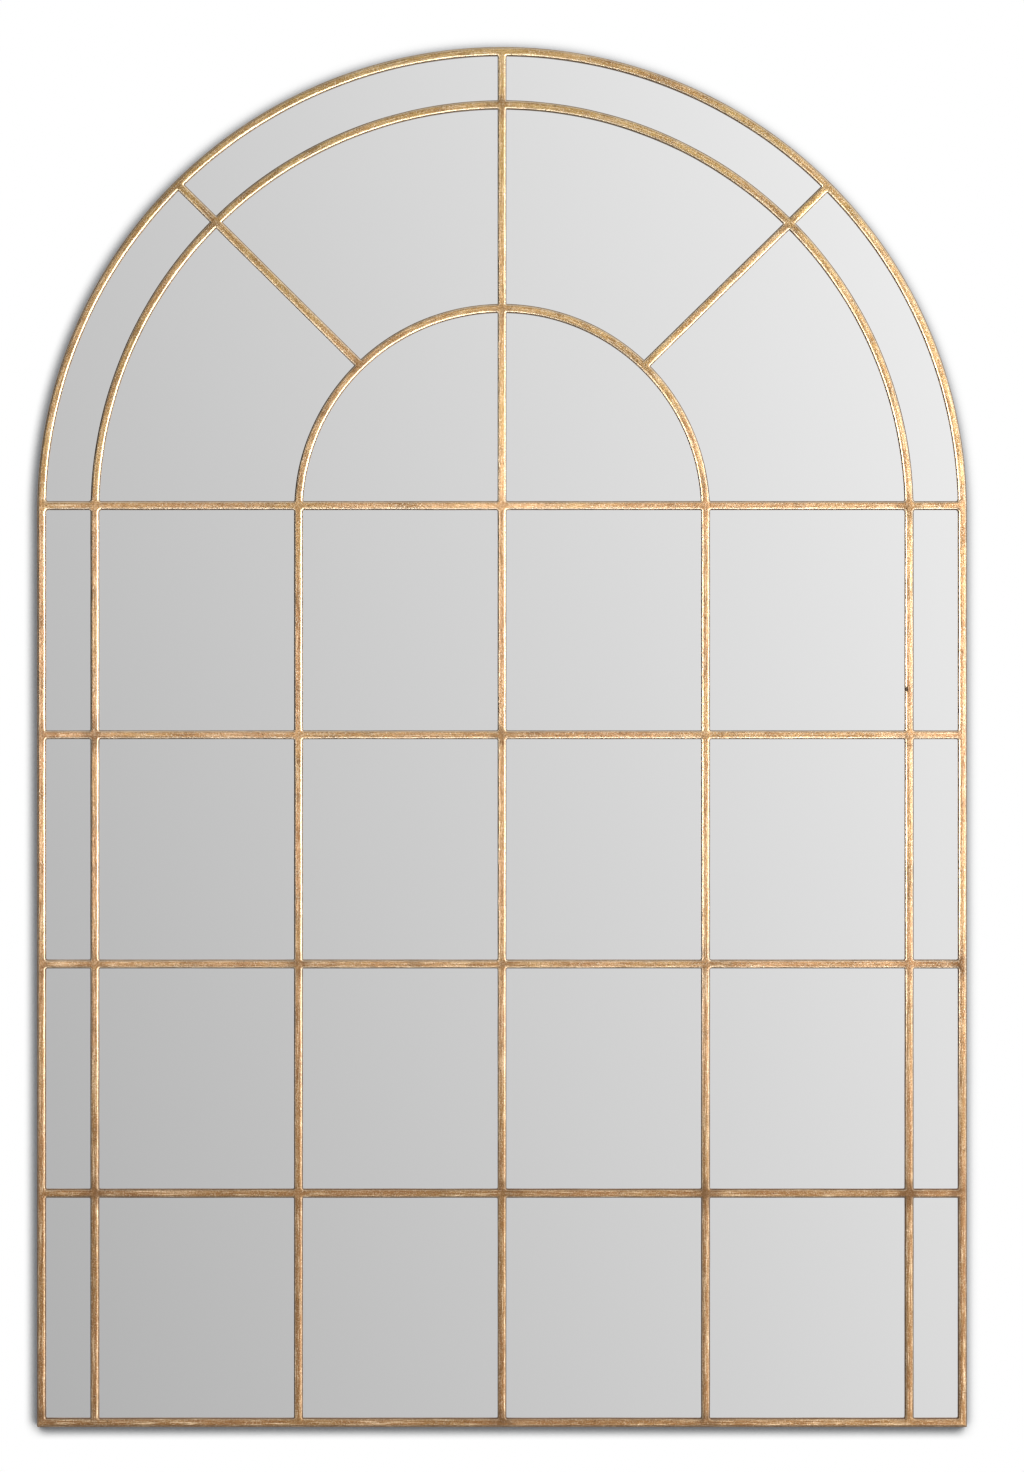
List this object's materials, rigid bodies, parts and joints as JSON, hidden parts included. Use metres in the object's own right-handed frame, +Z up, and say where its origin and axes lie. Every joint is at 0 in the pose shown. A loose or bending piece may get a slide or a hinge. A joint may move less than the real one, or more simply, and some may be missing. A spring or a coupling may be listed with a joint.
{
  "type": "arched window mirror",
  "caption": "Tall arched wall mirror: a gilded iron window grille over one sheet of mirror glass, with ring hangers on the back.",
  "frame": {"origin": "on the wall plane, midway between the two hanger rings and level with their pivots", "axes": "+X to the right seen from the front, +Y back into the wall, +Z up"},
  "size_m": [1.016, 0.027, 1.508],
  "materials": {
    "gold_leaf": "antiqued gold leaf over iron, worn and speckled",
    "mirror_glass": "polished silvered glass",
    "backing_board": "black painted fibreboard",
    "clip_steel": "zinc plated",
    "hanger_steel": "nickel plated",
    "screw_steel": "zinc plated",
    "bumper_rubber": "matte black rubber"
  },
  "bodies": {
    "mirror": {"backing_board": "backing_board", "bottom_rail": "gold_leaf", "centre_bar": "gold_leaf", "clip_left_arch": "clip_steel", "clip_left_high": "clip_steel", "clip_left_low": "clip_steel", "clip_right_arch": "clip_steel", "clip_right_high": "clip_steel", "clip_right_low": "clip_steel", "clip_screw_left_arch": "screw_steel", "clip_screw_left_high": "screw_steel", "clip_screw_left_low": "screw_steel", "clip_screw_right_arch": "screw_steel", "clip_screw_right_high": "screw_steel", "clip_screw_right_low": "screw_steel", "crossbar_1_left_1": "gold_leaf", "crossbar_1_left_2": "gold_leaf", "crossbar_1_left_3": "gold_leaf", "crossbar_1_right_1": "gold_leaf", "crossbar_1_right_2": "gold_leaf", "crossbar_1_right_3": "gold_leaf", "crossbar_2_left_1": "gold_leaf", "crossbar_2_left_2": "gold_leaf", "crossbar_2_left_3": "gold_leaf", "crossbar_2_right_1": "gold_leaf", "crossbar_2_right_2": "gold_leaf", "crossbar_2_right_3": "gold_leaf", "crossbar_3_left_1": "gold_leaf", "crossbar_3_left_2": "gold_leaf", "crossbar_3_left_3": "gold_leaf", "crossbar_3_right_1": "gold_leaf", "crossbar_3_right_2": "gold_leaf", "crossbar_3_right_3": "gold_leaf", "hanger_screw_left_lower": "screw_steel", "hanger_screw_left_upper": "screw_steel", "hanger_screw_right_lower": "screw_steel", "hanger_screw_right_upper": "screw_steel", "hanger_strap_left": "hanger_steel", "hanger_strap_right": "hanger_steel", "inner_hoop": "gold_leaf", "mid_hoop": "gold_leaf", "mirror_glass": "mirror_glass", "ray_centre_inner": "gold_leaf", "ray_centre_outer": "gold_leaf", "ray_left_inner": "gold_leaf", "ray_left_outer": "gold_leaf", "ray_right_inner": "gold_leaf", "ray_right_outer": "gold_leaf", "rim_hoop": "gold_leaf", "spring_bar_left_1": "gold_leaf", "spring_bar_left_2": "gold_leaf", "spring_bar_left_3": "gold_leaf", "spring_bar_right_1": "gold_leaf", "spring_bar_right_2": "gold_leaf", "spring_bar_right_3": "gold_leaf", "wall_bumper_left": "bumper_rubber", "wall_bumper_right": "bumper_rubber"},
    "ring_left": {"hanger_ring_left": "hanger_steel"},
    "ring_right": {"hanger_ring_right": "hanger_steel"}
  },
  "joints": [
    {"name": "ring_left_swing", "type": "hinge", "parent": "mirror", "child": "ring_left", "pos_m": [-0.3, -0.0062, 0], "axis": [1, 0, 0], "range_deg": [0, 180]},
    {"name": "ring_right_swing", "type": "hinge", "parent": "mirror", "child": "ring_right", "pos_m": [0.3, -0.0062, 0], "axis": [1, 0, 0], "range_deg": [0, 180]}
  ]
}
